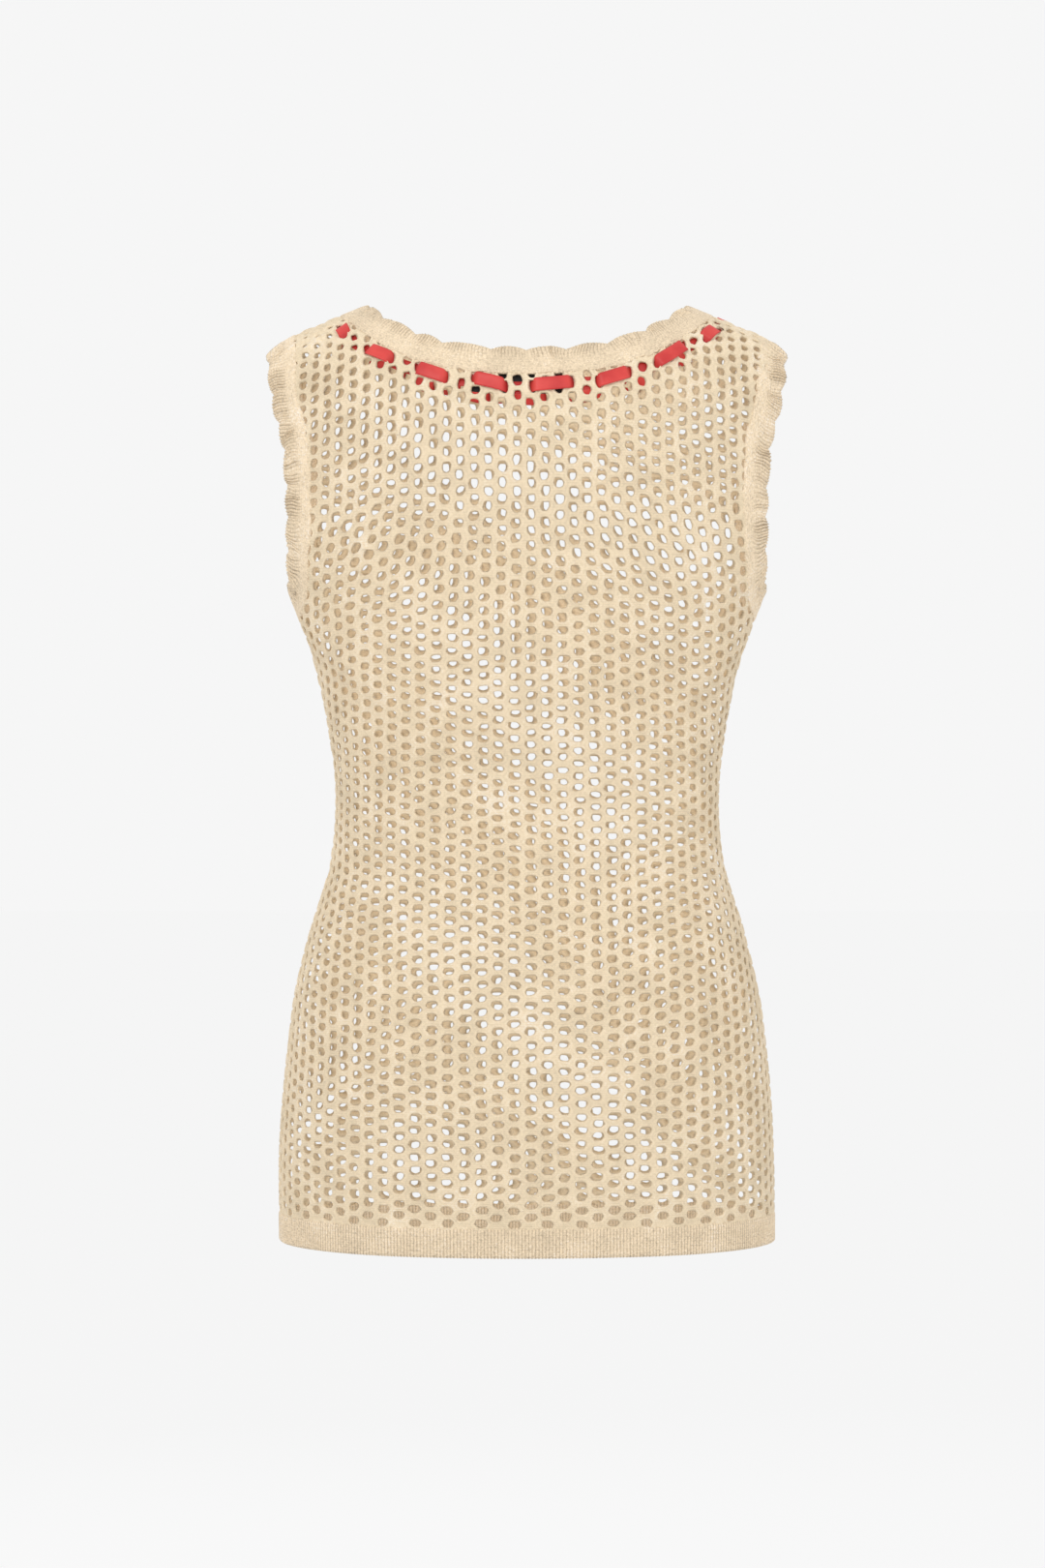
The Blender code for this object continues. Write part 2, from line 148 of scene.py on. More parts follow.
# Figure: the hollow form that the cloth keeps. Side is 1 at the back and -1 in front, turn is 0 on
# the middle line and a quarter circle at the side, climb is the height above the hem up to the
# upper chest and runs on over the arch of the shoulders.
figure = {
    "shoulderLevel": 0.580,
    "upperChest": 0.470,
    "archClimb": 0.150,
    "shoulderSpread": 0.012,
    "squareness": 2.3,
    "chestLean": 0.25,
    "frontDrop": 0.008,  # the hem hangs lower by this at the middle of the front
    "dropReach": 0.160,  # the climb over which that drop fades out
    "sections": np.array((  # height, half width, depth to the back, depth to the front
        (0.000, 0.1570, 0.100, 0.098),
        (0.050, 0.1575, 0.105, 0.100),
        (0.110, 0.1536, 0.107, 0.098),
        (0.160, 0.1472, 0.102, 0.094),
        (0.200, 0.1372, 0.093, 0.089),
        (0.236, 0.1262, 0.084, 0.085),
        (0.280, 0.1215, 0.077, 0.083),
        (0.330, 0.1265, 0.078, 0.089),
        (0.370, 0.1355, 0.079, 0.099),
        (0.404, 0.1462, 0.079, 0.104),
        (0.430, 0.1570, 0.078, 0.102),
        (0.450, 0.1635, 0.077, 0.098),
        (0.470, 0.1665, 0.076, 0.093),
    )),
    "shoulderLine": np.array((  # half width, height
        (0.0000, 0.6125),
        (0.0500, 0.6080),
        (0.1035, 0.5962),
        (0.1340, 0.5845),
        (0.1535, 0.5755),
        (0.1635, 0.5675),
        (0.1785, 0.5460),
    )),
    "armholeLine": np.array((  # height, half width
        (0.4130, 0.1490),
        (0.4410, 0.1500),
        (0.4780, 0.1505),
        (0.5060, 0.1525),
        (0.5340, 0.1595),
        (0.5675, 0.1635),
    )),
    "armholeTop": 0.5675,
    "armholeBottom": 0.4130,
    "underarmSquare": 40,
    "neckHalf": 0.1035,
    "neckPoint": 0.5962,
    "neckLow": {"back": 0.5635, "front": 0.5680},
    "neckRound": 2.8,
    "neckCentre": (0.0, 0.0, 0.070),  # a point in each opening, which the bands lead away from
    "armholeCentre": (0.155, 0.0, -0.090),
}
upperChest = figure["upperChest"]
archClimb = figure["archClimb"]
climbTop = upperChest + archClimb
sides = {"back": 1.0, "front": -1.0}


def readTable(rows, column, at):
    # one column of a table at any values of its first column, on a smooth curve
    x, y = rows[:, 0], rows[:, column]
    slope = np.gradient(y, x)
    at = np.clip(at, x[0], x[-1])
    i = np.clip(np.searchsorted(x, at) - 1, 0, len(x) - 2)
    span = x[i + 1] - x[i]
    t = (at - x[i]) / span
    start = (1 + 2 * t) * (1 - t) ** 2 * y[i] + t * (1 - t) ** 2 * span * slope[i]
    end = t * t * (3 - 2 * t) * y[i + 1] + t * t * (t - 1) * span * slope[i + 1]
    return start + end


def archAt(climb):
    # how far over the shoulder's arch a climb lies, and the level that its section is read at
    return np.maximum(climb - upperChest, 0) / archClimb * quarter, np.minimum(climb, upperChest)


def halfWidth(climb):
    arch, level = archAt(climb)
    return readTable(figure["sections"], 1, level) + figure["shoulderSpread"] * np.sin(arch) ** 2


def form(side, turn, climb):
    # points of the smooth form
    arch, level = archAt(climb)
    x = halfWidth(climb) * np.sin(turn)
    depth = np.where(side > 0, readTable(figure["sections"], 2, level),
                     readTable(figure["sections"], 3, level))
    lean = np.where(side > 0, 0.0, figure["chestLean"])
    fall = np.cos(arch) - lean * np.sin(arch) * (1 - np.sin(arch))
    roundness = np.sqrt(np.abs(1 - np.abs(np.sin(turn)) ** figure["squareness"]))
    y = side * depth * fall * roundness * np.sign(np.cos(turn))
    top = readTable(figure["shoulderLine"], 1, np.abs(x))
    drop = np.where(side > 0, 0.0, figure["frontDrop"]) * np.cos(turn) ** 2
    drop = drop * np.clip(1 - climb / figure["dropReach"], 0, None) ** 2
    z = level + (top - upperChest) * np.sin(arch) - drop - figure["shoulderLevel"]
    return np.stack(np.broadcast_arrays(x, y, z), axis=-1)


def slopes(side, turn, climb):
    # how the form's points move with turn and with climb
    step = 1e-4
    byTurn = (form(side, turn + step, climb) - form(side, turn - step, climb)) / (2 * step)
    byClimb = (form(side, turn, climb + step) - form(side, turn, climb - step)) / (2 * step)
    return byTurn, byClimb


def outward(side, turn, climb):
    byTurn, byClimb = slopes(side, turn, climb)
    normal = np.cross(byTurn, byClimb) * -np.sign(side)[..., None]
    return normal / np.linalg.norm(normal, axis=-1, keepdims=True)


def walk(place, heading, distance, steps=6):
    # places moved over the surface, each by its distance along its own heading
    side, turn, climb = place
    for _ in range(steps):
        byTurn, byClimb = slopes(side, turn, climb)
        a, b = (byTurn * byTurn).sum(-1), (byClimb * byClimb).sum(-1)
        c = (byTurn * byClimb).sum(-1)
        p, q = (heading * byTurn).sum(-1), (heading * byClimb).sum(-1)
        spread = a * b - c * c
        turnBy, climbBy = (p * b - q * c) / spread, (q * a - p * c) / spread
        move = byTurn * turnBy[..., None] + byClimb * climbBy[..., None]
        pace = distance / steps / np.linalg.norm(move, axis=-1)
        turn, climb = turn + turnBy * pace, climb + climbBy * pace
    return side, turn, climb


def onArch(half, height):
    # the climb at which the form reaches a height, at a half width
    top = readTable(figure["shoulderLine"], 1, half)
    rise = np.clip((height - upperChest) / (top - upperChest), 0, 1)
    return np.where(height > upperChest, upperChest + np.arcsin(rise) / quarter * archClimb, height)


def neckEdge(way):
    # the neck opening's edge: way is 0 at the middle of the back and a quarter at the left shoulder
    side = np.where(np.cos(way) >= 0, 1.0, -1.0)
    low = np.where(side > 0, figure["neckLow"]["back"], figure["neckLow"]["front"])
    across = np.abs(np.sin(way))
    height = low + (figure["neckPoint"] - low) * across ** figure["neckRound"]
    climb = onArch(figure["neckHalf"] * across, height)
    return side, np.arcsin(figure["neckHalf"] * np.sin(way) / halfWidth(climb)), climb


def armholeEdge(way):
    # the left armhole's edge: way is 0 at the back and a quarter at the shoulder
    rise = np.sin(way)
    reach = np.where(rise > 0, figure["armholeTop"] - upperChest, upperChest - figure["armholeBottom"])
    height = upperChest + reach * rise
    half = readTable(figure["armholeLine"], 1, height)
    climb = onArch(half, height)
    spare = (1 - half / halfWidth(climb)) * (1 - ((1 - rise) / 2) ** figure["underarmSquare"])
    return np.where(np.cos(way) >= 0, 1.0, -1.0), np.arcsin(1 - spare), climb


def headingFrom(edge, centre, way):
    # places on an opening's edge and the headings over the cloth away from it
    step = 2e-3
    place = edge(way)
    ahead = form(*edge(way + step)) - form(*edge(way - step))
    heading = np.cross(outward(*place), ahead)
    heading /= np.linalg.norm(heading, axis=-1, keepdims=True)
    return place, heading * np.sign((heading * (form(*place) - centre)).sum(-1, keepdims=True))


def besideNeck(way, distance):
    return walk(*headingFrom(neckEdge, figure["neckCentre"], way), distance)


def besideArmhole(way, distance):
    return walk(*headingFrom(armholeEdge, figure["armholeCentre"], way), distance)


def runOf(points):
    # length run through at each point of a line
    return np.concatenate(([0], np.cumsum(np.linalg.norm(np.diff(points, axis=0), axis=1))))


def smoothStep(t):
    t = np.clip(t, 0, 1)
    return t * t * (3 - 2 * t)


# Creases: soft ridges and troughs that the cloth keeps, and a slight unevenness all over
creases = {
    # side, x and climb of one end, x and climb of the other, half width, height
    "lines": (
        (1, 0.124, 0.592, 0.150, 0.580, 0.0030, 0.0016),
        (1, 0.118, 0.583, 0.146, 0.568, 0.0028, 0.0015),
        (1, 0.128, 0.572, 0.150, 0.557, 0.0030, -0.0012),
        (1, -0.121, 0.590, -0.147, 0.578, 0.0030, 0.0015),
        (1, -0.126, 0.574, -0.149, 0.562, 0.0028, 0.0013),
        (1, 0.146, 0.402, 0.096, 0.352, 0.0075, 0.0016),
        (1, 0.140, 0.376, 0.085, 0.322, 0.0080, -0.0014),
        (1, -0.146, 0.400, -0.101, 0.346, 0.0075, 0.0015),
        (1, -0.134, 0.362, -0.076, 0.318, 0.0085, -0.0013),
        (1, 0.108, 0.268, 0.055, 0.290, 0.0080, 0.0015),
        (1, -0.112, 0.284, -0.050, 0.262, 0.0085, 0.0016),
        (1, 0.120, 0.236, 0.060, 0.244, 0.0080, -0.0013),
        (1, 0.090, 0.020, 0.082, 0.120, 0.0110, 0.0016),
        (1, -0.060, 0.018, -0.068, 0.100, 0.0110, -0.0015),
        (-1, 0.122, 0.590, 0.148, 0.579, 0.0030, 0.0014),
        (-1, -0.120, 0.588, -0.148, 0.577, 0.0030, 0.0015),
        (-1, 0.140, 0.408, 0.090, 0.372, 0.0080, 0.0017),
        (-1, -0.138, 0.404, -0.086, 0.366, 0.0080, 0.0016),
        (-1, 0.110, 0.270, 0.048, 0.286, 0.0085, 0.0015),
        (-1, -0.104, 0.290, -0.052, 0.270, 0.0085, 0.0015),
        (-1, 0.070, 0.018, 0.066, 0.110, 0.0110, 0.0016),
        (-1, -0.084, 0.018, -0.090, 0.090, 0.0110, -0.0014),
    ),
    "endShare": 0.35,  # a crease's height at its ends, as a share of the height
    "wave": 0.0005,
    "waves": ((47, 31, 0.8), (-19, 23)),  # the unevenness: how fast it runs across and up, and its start
    "calmBySeams": 0.008,  # how far from the side and shoulder seams the cloth lies smooth
}


def creaseOut(side, points, climb):
    # how far the cloth stands off the smooth form at these points
    x = points[..., 0]
    calm = smoothStep(np.abs(points[..., 1]) / creases["calmBySeams"])
    (across, up, start), (backAcross, backUp) = creases["waves"]
    out = np.sin(across * x + up * climb + start) * np.sin(backUp * climb + backAcross * x + side)
    out = out * creases["wave"]
    ends = creases["endShare"]
    for which, x0, climb0, x1, climb1, reach, height in creases["lines"]:
        dx, dc = x1 - x0, climb1 - climb0
        t = np.clip(((x - x0) * dx + (climb - climb0) * dc) / (dx * dx + dc * dc), 0, 1)
        gap = np.hypot(x - x0 - t * dx, climb - climb0 - t * dc)
        fade = ends + (1 - ends) * np.sin(math.pi * (0.1 + 0.8 * t))
        out = out + np.where(side == which, height * fade * np.exp(-((gap / reach) ** 2)), 0.0)
    return out * calm


def lift(side, turn, climb, out):
    # points of the creased cloth, moved outwards by a distance
    points = form(side, turn, climb)
    out = np.asarray(out) + creaseOut(side, points, climb)
    return points + outward(side, turn, climb) * out[..., None]


# Materials
def principled(tree, colour, bump, **sockets):
    shader = addNode(tree, "ShaderNodeBsdfPrincipled", **sockets)
    tree.links.new(colour, shader.inputs["Base Color"])
    tree.links.new(bump.outputs[0], shader.inputs["Normal"])
    addNode(tree, "ShaderNodeOutputMaterial", Surface=(shader, 0))


def mathNode(tree, operation, *values):
    inputs = {"in" + str(k): value for k, value in enumerate(values)}
    return addNode(tree, "ShaderNodeMath", {"operation": operation}, **inputs)


def noiseNode(tree, at, scale, **inputs):
    return addNode(tree, "ShaderNodeTexNoise", Vector=(at, "Object"), Scale=scale, **inputs)


def rampNode(tree, factor, *stops):
    # a ramp through the given places and colours, its two ends first
    ramp = addNode(tree, "ShaderNodeValToRGB", Fac=(factor, 0))
    made = ramp.color_ramp.elements
    for k, (place, colour) in enumerate(stops):
        stop = made[k] if k < 2 else made.new(place)
        stop.position = place
        stop.color = (*colour, 1)
    return ramp


yarn = {
    "netTone": (0.835, 0.687, 0.482),
    "bandTone": (0.850, 0.690, 0.490),
    "shades": (0.05, 0.5, 1.0),  # where the yarn is darkest, where it has its tone and where it is white
    "darkest": 0.66,  # factor on the tone where the painted groove shade is deepest
    "patchScale": 45.0,
    "speckleScale": 1100.0,
    "fibreScale": 2600.0,
    "pebbleScale": 780.0,
    # how much of each shows in the tone; what the loops and the pebbles add is painted shade that follows
    # their bumps
    "patchShade": 0.5,
    "speckleShade": 0.45,
    "loopShade": 0.045,
    "pebbleShade": 0.5,
    "legSlant": 0.9,  # courses that a stitch's leg drops by from its wale's edge to its middle
    "waleGroove": 1.6,
}


def yarnMaterial(name, tone, pebbles, paintedGrooveShade, lighter, relief):
    # matt cotton yarn: uneven tone, speckle, fibres, stitches and pebbles, with painted shade along the
    # stitches' loops, between the pebbles and in the grooves; the piece's own stitches attribute counts
    # wales and courses, and its third number is how much painted groove shade it gets
    made = bpy.data.materials.new(name)
    tree = nodeTree(made)
    at = addNode(tree, "ShaderNodeTexCoord")
    patches = noiseNode(tree, at, yarn["patchScale"], Detail=3.0)
    speckle = noiseNode(tree, at, yarn["speckleScale"], Detail=2.0, Roughness=0.6)
    weave = addNode(tree, "ShaderNodeAttribute", {"attribute_name": "stitches"})
    apart = addNode(tree, "ShaderNodeSeparateXYZ", Vector=(weave, "Vector"))
    across = mathNode(tree, "FRACT", (apart, 0))
    centred = mathNode(tree, "SUBTRACT", (across, 0), 0.5)
    leg = mathNode(tree, "ABSOLUTE", (centred, 0))
    slant = mathNode(tree, "MULTIPLY_ADD", (leg, 0), -yarn["legSlant"], (apart, 1))
    turns = mathNode(tree, "MULTIPLY", (slant, 0), 2 * math.pi)
    loops = mathNode(tree, "SINE", (turns, 0))
    wale = mathNode(tree, "MULTIPLY_ADD", (leg, 0), -yarn["waleGroove"], (loops, 0))
    pebble = addNode(tree, "ShaderNodeTexVoronoi", {"feature": "SMOOTH_F1"}, Vector=(at, "Object"),
                     Scale=yarn["pebbleScale"])

    # the tone: random patches and speckle, with painted shade along the loops, between the pebbles and in
    # the grooves
    shade = mathNode(tree, "MULTIPLY_ADD", (patches, 0), yarn["patchShade"], lighter)
    for source, weight in (((speckle, 0), yarn["speckleShade"]), ((loops, 0), yarn["loopShade"]),
                           ((pebble, 0), -pebbles * yarn["pebbleShade"]), ((apart, 2), -paintedGrooveShade)):
        shade = mathNode(tree, "MULTIPLY_ADD", source, weight, (shade, 0))
    dark, plain, white = yarn["shades"]
    ramp = rampNode(tree, shade, (dark, [channel * yarn["darkest"] for channel in tone]),
                    (white, (1, 1, 1)), (plain, tone))

    fibres = noiseNode(tree, at, yarn["fibreScale"], Detail=2.0)
    bump = addNode(tree, "ShaderNodeBump", Strength=0.4, Distance=0.0003, Height=(fibres, 0))
    bump = addNode(tree, "ShaderNodeBump", Strength=relief, Distance=0.0005, Height=(wale, 0),
                   Normal=(bump, 0))
    bump = addNode(tree, "ShaderNodeBump", {"invert": True}, Strength=pebbles, Distance=0.0011,
                   Height=(pebble, 0), Normal=(bump, 0))
    principled(tree, ramp.outputs[0], bump, Roughness=0.9, Sheen_Weight=0.12, Sheen_Roughness=0.5,
               Specular_IOR_Level=0.15)
    return made


netYarn = yarnMaterial("creamNetYarn", yarn["netTone"], pebbles=0.35, paintedGrooveShade=0.26, lighter=0.09,
                       relief=0.35)
# the neck band's copy of the band yarn is painted darker, as painted shade that tones down the light on its
# upturned face
bandYarn, neckYarnShaded = (yarnMaterial(name, yarn["bandTone"], pebbles=1.0, paintedGrooveShade=0.42,
                                   lighter=lighter, relief=0.15)
                      for name, lighter in (("creamBandYarn", 0.21), ("creamNeckYarnShaded", 0.10)))


def meshPiece(name, points, faces, material, nodes, attribute=None):
    # a new piece from points and faces, which takes its nodes' place on the part
    data = bpy.data.meshes.new(name)
    data.from_pydata(points.tolist(), [], faces)
    data.update()
    if attribute is not None:
        layer = data.attributes.new("stitches", "FLOAT_VECTOR", "POINT")
        layer.data.foreach_set("vector", attribute.astype(np.float32).ravel())
    data.polygons.foreach_set("use_smooth", np.ones(len(data.polygons), bool))
    data.materials.append(material)
    piece = bpy.data.objects.new(name, data)
    bpy.context.collection.objects.link(piece)
    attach(piece, "root")
    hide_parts(*nodes)
    return piece


# Net: columns of holes, staggered by half a row from one column to the next
net = {
    "thick": 0.0022,
    "pastSeam": 0.03,  # how far the lattice runs on past the shoulder seam before it is cut
    "pastSide": 1.15,  # how far it runs round, in quarter turns
    "tableSize": (261, 185),  # climbs and turns that the form is read at
    "seamGap": 0.0003,
    "columns": 32,  # to either side of the middle one, before the side seams cut them
    # cells are kept this far past the side seam in columns, from the foot and past the top in rows
    "keep": (0.7, 1.2, 0.6),
    # holes are open this far inside the side seam in columns, above the hem and below the top in rows
    "openFrom": (0.5, 0.2, 0.75),
    "hem": 0.0183,  # climb at which the rows are counted from
    "rowShift": {"back": 0.10, "front": 0.38},
    "rowTilt": {"back": 0.0, "front": 0.0284},  # rows that a row climbs at each column
    "rowBow": {"back": 0.0, "front": -0.00094},
    "columnShift": {"back": -0.0024, "front": 0.0034},  # where the middle column stands
    "columnSlant": {"back": 0.0, "front": 0.0535},  # how far the columns move over as they climb
    "slantFrom": 0.25,
    "columnPitch": {  # climb, pitch
        "back": np.array(((0.02, 0.0103), (0.15, 0.0102), (0.28, 0.0100), (0.40, 0.0098),
                          (0.47, 0.0088), (0.62, 0.0086))),
        "front": np.array(((0.02, 0.0103), (0.15, 0.0103), (0.28, 0.0102), (0.40, 0.0100),
                           (0.56, 0.0090))),
    },
    "rowPitch": {
        "back": np.array(((0.02, 0.0083), (0.15, 0.0081), (0.28, 0.0075), (0.36, 0.0078),
                          (0.42, 0.0090), (0.47, 0.0101), (0.62, 0.0103))),
        "front": np.array(((0.02, 0.0082), (0.15, 0.0086), (0.28, 0.0079), (0.40, 0.0090),
                           (0.56, 0.0109))),
    },
    # climb, and a hole's share of the column's or row's pitch
    "holeWide": np.array(((0.02, 0.60), (0.36, 0.57), (0.44, 0.56), (0.52, 0.54), (0.56, 0.46),
                          (0.62, 0.36))),
    "holeTall": np.array(((0.02, 0.56), (0.36, 0.53), (0.44, 0.63), (0.54, 0.64), (0.58, 0.60),
                          (0.62, 0.36))),
    "squareTop": 3.2,  # a hole's upper half is squarer than its lower half
    "squareFoot": 2.1,
    "largestHole": 0.40,  # half a hole's size, in columns or rows, at the most
    "unevenSize": 0.10,
    "unevenPlace": 0.050,
    "unevenRim": 0.05,
    "unevenLean": 0.14,
    "rimGroove": 1.0,  # painted shade: how dark the rims and the strands' middles are painted, for the shade on the holes' walls and in the strands' grooves
    "strandGroove": 0.3,
    "crest": 0.42,  # how far from the hole towards the cell's border the yarn stands highest
    "crestRise": 0.0003,  # how far it stands over the net's even thickness there
    "calmByBands": 0.004,  # how far from the bands it stands fully up
    "groove": 0.0005,  # depth of the groove along the middle of each strand
    "leans": (  # side, x and climb of the middle, reach across and up, lean
        (1, -0.075, 0.450, 0.040, 0.045, 0.42),
        (1, 0.105, 0.440, 0.030, 0.050, -0.30),
        (1, 0.020, 0.330, 0.060, 0.040, 0.15),
        (1, -0.080, 0.120, 0.060, 0.060, -0.14),
        (1, 0.120, 0.585, 0.030, 0.022, 0.60),
        (1, -0.120, 0.585, 0.030, 0.022, -0.60),
        (-1, -0.080, 0.440, 0.040, 0.045, 0.30),
        (-1, 0.080, 0.440, 0.040, 0.045, -0.30),
        (-1, 0.120, 0.585, 0.030, 0.022, 0.55),
        (-1, -0.120, 0.585, 0.030, 0.022, -0.55),
    ),
    "tight": (  # side, x and climb of the middle, reach across and up, how much smaller the holes are
        (1, 0.132, 0.592, 0.030, 0.026, 0.72),
        (1, -0.144, 0.600, 0.014, 0.014, 0.35),
        (-1, 0.130, 0.592, 0.024, 0.020, 0.45),
    ),
    "tuckUnderBand": 0.0075,
    "bandWidths": {"neck": 0.016, "armhole": 0.018},
    "stitchesPerCell": 6,
    "seed": 11,
}
# a cell's border in sixths of a column and quarters of a row, anticlockwise
cellBorder = np.array(((4, 0), (3, 1), (2, 2), (0, 2), (-2, 2), (-3, 1),
                       (-4, 0), (-3, -1), (-2, -2), (0, -2), (2, -2), (3, -1)))


def latticeOf(name):
    # tables that turn lattice places, in columns and rows, into places on the form
    side = sides[name]
    tall, wide = net["tableSize"]
    climbs = np.linspace(0, climbTop + net["pastSeam"], tall)
    turns = np.linspace(0, quarter * net["pastSide"], wide)
    grid = form(np.full((tall, wide), side), turns[None, :], climbs[:, None])
    arcs = np.concatenate((np.zeros((tall, 1)),
                           np.cumsum(np.linalg.norm(np.diff(grid, axis=1), axis=2), axis=1)), axis=1)
    seams = np.array([np.interp(quarter, turns, arc) for arc in arcs])
    rise = runOf(grid[:, 0])
    middles = (climbs[1:] + climbs[:-1]) / 2
    pitch = np.interp(middles, *net["rowPitch"][name].T)
    rows = np.concatenate(([0], np.cumsum(np.diff(rise) / pitch)))
    rows += net["rowShift"][name] - np.interp(net["hem"], climbs, rows)
    return {"name": name, "side": side, "climbs": climbs, "turns": turns, "arcs": arcs, "rows": rows,
            "seams": seams, "topRow": np.interp(climbTop, climbs, rows)}


def levelOf(lattice, column, row):
    # how many rows above the hem a lattice place lies, where the rows tilt and bow
    name = lattice["name"]
    return row + net["rowTilt"][name] * column + net["rowBow"][name] * column ** 2


def onLattice(lattice, column, row):
    # turn, climb, and how far inside the side seam each lattice place lies
    name = lattice["name"]
    climb = np.interp(levelOf(lattice, column, row), lattice["rows"], lattice["climbs"])
    arc = column * np.interp(climb, *net["columnPitch"][name].T) + net["columnShift"][name]
    arc = arc + net["columnSlant"][name] * (climb - net["slantFrom"])
    turn = np.empty_like(arc)
    step = lattice["climbs"][1]
    for start in range(0, len(arc), 20000):
        part = slice(start, start + 20000)
        i = np.minimum((climb[part] / step).astype(int), len(lattice["climbs"]) - 2)
        t = (climb[part] / step - i)[:, None]
        curve = lattice["arcs"][i] * (1 - t) + lattice["arcs"][i + 1] * t
        reach = np.abs(arc[part])
        k = np.clip((curve < reach[:, None]).sum(1) - 1, 0, curve.shape[1] - 2)
        line = np.arange(len(k))
        share = (reach - curve[line, k]) / (curve[line, k + 1] - curve[line, k])
        width = lattice["turns"][1]
        turn[part] = np.sign(arc[part]) * (k + share) * width
    spare = np.interp(climb, lattice["climbs"], lattice["seams"]) - np.abs(arc)
    return turn, climb, spare


def distanceTo(edge, centre, ways, points):
    # signed distance from an opening's edge, counted away from the opening, and the nearest way
    place, heading = headingFrom(edge, centre, ways)
    line = form(*place)
    distance, nearest = np.empty(len(points)), np.empty(len(points))
    for start in range(0, len(points), 2000):
        part = points[start:start + 2000]
        apart = part[:, None] - line[None]
        near = (apart * apart).sum(-1).argmin(1)
        off = part - line[near]
        distance[start:start + 2000] = np.linalg.norm(off, axis=1) * np.sign((off * heading[near]).sum(1))
        nearest[start:start + 2000] = ways[near]
    return distance, nearest


def cellsOf(name):
    # the cells of one panel: their lattice places, places on the form and distances from the bands
    lattice = latticeOf(name)
    columns = np.arange(-net["columns"], net["columns"] + 1)
    rows = np.arange(-4, int(lattice["rows"][-1]) + 4)  # with some to spare where the rows tilt
    column, row = (a.ravel() for a in np.meshgrid(columns, rows, indexing="ij"))
    row = row + 0.5 * (column % 2)
    turn, climb, spare = onLattice(lattice, column, row)
    pitch = np.interp(climb, *net["columnPitch"][name].T)
    level = levelOf(lattice, column, row)
    pastSide, fromFoot, pastTop = net["keep"]
    inside = (spare > -pastSide * pitch) & (level > lattice["rows"][0] + fromFoot) \
        & (level < lattice["topRow"] + pastTop)
    column, row, turn, climb, spare, pitch, level = (
        a[inside] for a in (column, row, turn, climb, spare, pitch, level))
    side = np.full(len(turn), lattice["side"])
    points = form(side, turn, climb)
    mirrored = points * np.sign(points[:, :1] + 1e-9) ** np.array((1, 0, 0))
    ways = np.linspace(0, quarter, 300) if name == "back" else np.linspace(quarter, math.pi, 300)
    fromNeck, way = distanceTo(neckEdge, figure["neckCentre"], ways, mirrored)
    turns = np.linspace(-quarter, quarter, 300) + (0.0 if name == "back" else math.pi)
    fromArmhole, _ = distanceTo(armholeEdge, figure["armholeCentre"], turns, mirrored)
    tuck = net["tuckUnderBand"]
    kept = (fromNeck > net["bandWidths"]["neck"] - tuck) \
        & (fromArmhole > net["bandWidths"]["armhole"] - tuck)
    way = np.where(points[:, 0] < 0, 2 * math.pi - way, way)
    fromSide, fromHem, fromTop = net["openFrom"]
    openHole = (spare > fromSide * pitch) & (level < lattice["topRow"] - fromTop) & (level > fromHem)
    fromBands = np.minimum(fromNeck - net["bandWidths"]["neck"], fromArmhole - net["bandWidths"]["armhole"])
    cells = {"column": column, "row": row, "climb": climb, "points": points, "fromNeck": fromNeck,
             "way": way, "open": openHole, "clear": smoothStep(fromBands / net["calmByBands"])}
    cells = {key: value[kept] for key, value in cells.items()}
    cells["eyelet"] = np.zeros(len(cells["row"]), bool)
    cells["drop"] = np.zeros(len(cells["row"]))
    cells["slide"] = np.zeros(len(cells["row"]))
    return lattice, cells


def patchesAt(cells, patches):
    # for each listed patch, its amount at every cell, which fades out from the patch's middle
    x, y = cells["points"][:, 0], cells["points"][:, 1]
    for side, x0, climb0, reachAcross, reachUp, amount in patches:
        near = np.exp(-((x - x0) / reachAcross) ** 2 - ((cells["climb"] - climb0) / reachUp) ** 2)
        yield np.where(side * y > 0, amount * near, 0.0)


def leanAt(cells):
    # how much the holes lean where the cloth is pulled askew; a positive lean moves a hole's top
    # towards the wearer's left
    return sum(patchesAt(cells, net["leans"]))


def tightAt(cells):
    # the holes' size where the cloth is drawn together, as a share of their full size
    return np.prod([1 - amount for amount in patchesAt(cells, net["tight"])], axis=0)


# Ribbon: laced in and out of the net's own holes, all round the neck
ribbon = {
    "line": 0.0230,  # distance of its middle from the neck opening's edge
    "stretches": 18,  # stretches that show, all round
    "firstMiddle": 0.0227,  # run from the middle of the back to the middle of one that shows
    "shows": 0.0205,  # length of a stretch that shows
    "lengths": {0: 0.0215, 1: 0.0215, 2: 0.0170, 3: 0.0110, 14: 0.0135, 15: 0.0225, 16: 0.0225,
                17: 0.0210},  # of those that differ
    "moved": {1: 0.0035, 2: 0.0030, 3: 0.0010, 4: 0.0120, 5: 0.0060,
              12: -0.0080, 13: -0.0160, 14: -0.0075, 15: -0.0100, 16: -0.0025},
    "slide": 0.0013,  # how far a hole that it passes may move along to it
    "drops": (40, 0.12),  # rows that such a hole drops for each metre off the line, and the most
    "wide": 0.0086,
    "pinched": 0.0080,  # its width in a hole
    "thick": 0.00035,
    "off": 0.0021,  # how far it lies from the net's middle
    "bulge": 0.0004,  # more at the middle of a stretch that shows
    "dive": 0.0017,  # length over which it comes out of a hole
    "fold": 0.00014,
    "sag": 0.0003,  # how unevenly its line runs, and how far its edges stand askew
    "tilt": 0.00025,
    "follows": 0.45,  # how far its line moves over to the middle of a hole
    "holeWide": 0.22,  # half the size of a hole that it passes, in columns and rows
    "holeTall": 0.42,
    "columnPitch": 0.0088,
    "seed": 5,
}


